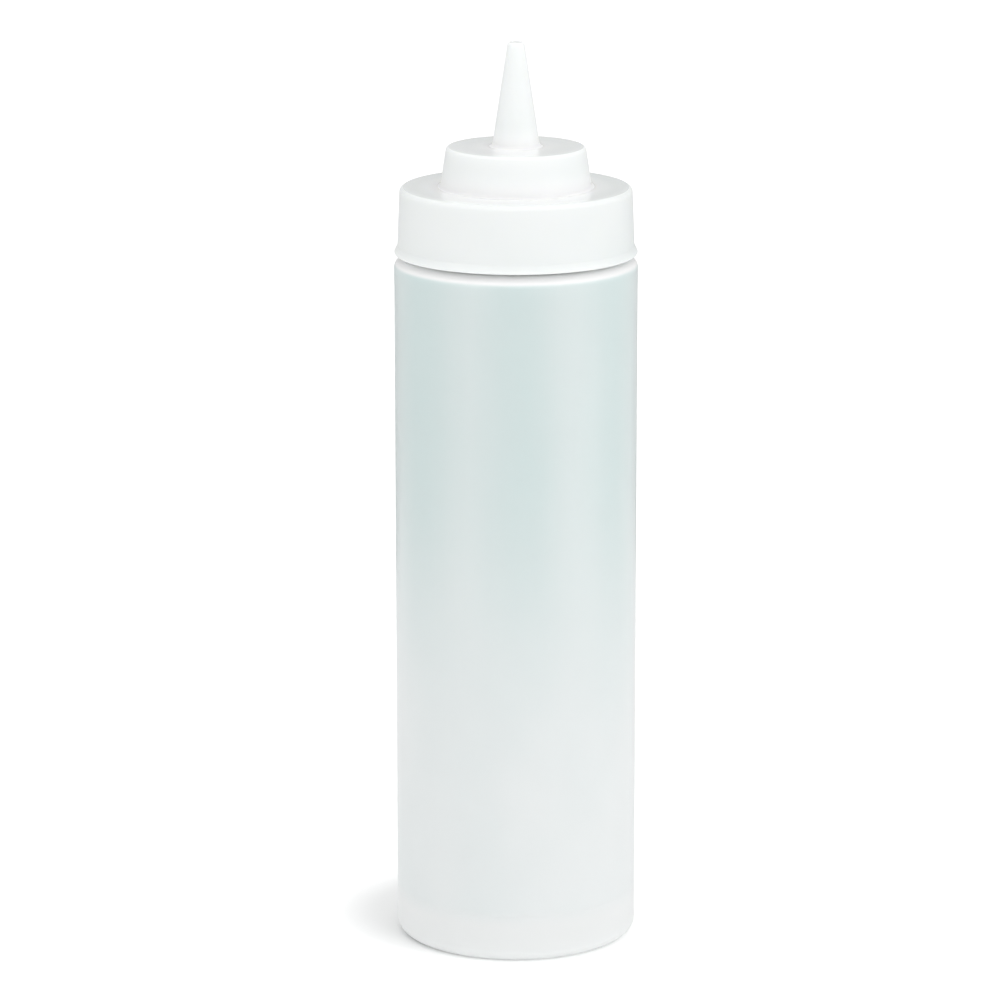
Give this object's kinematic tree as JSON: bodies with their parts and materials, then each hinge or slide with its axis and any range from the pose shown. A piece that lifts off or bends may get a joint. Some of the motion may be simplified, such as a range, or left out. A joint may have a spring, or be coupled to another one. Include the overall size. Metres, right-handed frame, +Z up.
{
  "type": "squeeze sauce bottle",
  "caption": "Wide-neck squeeze bottle for sauces with a screw-on stepped cap and a cone nozzle; the cap turns and rises on its thread.",
  "frame": {"origin": "centre of the ring that the bottle stands on, on the floor", "axes": "+Z up along the bottle's axis, from the foot towards the nozzle's tip; X and Y are level, and the body is round, so their direction is free"},
  "size_m": [0.07, 0.07, 0.2633],
  "materials": {
    "bottle_plastic": "satin, translucent natural polyethylene",
    "cap_plastic": "satin, milky white polyethylene",
    "washer_foam": "matt, fine closed-cell foam"
  },
  "bodies": {
    "bottle": {"bottle": "bottle_plastic"},
    "washer": {"sealing_washer": "washer_foam"},
    "cap": {"cap": "cap_plastic"}
  },
  "joints": [
    {"name": "washer_lift", "type": "slide", "parent": "bottle", "child": "washer", "axis": [0, 0, 1], "range_m": [0, 0.0053]},
    {"name": "cap_turn", "type": "hinge", "parent": "washer", "child": "cap", "pos_m": [0, 0, 0.22005], "axis": [0, 0, 1], "range_deg": [0, 450]}
  ],
  "couplings": [
    {"joint": "washer_lift", "follows": "cap_turn", "m_per_rad": 0.00067371}
  ]
}
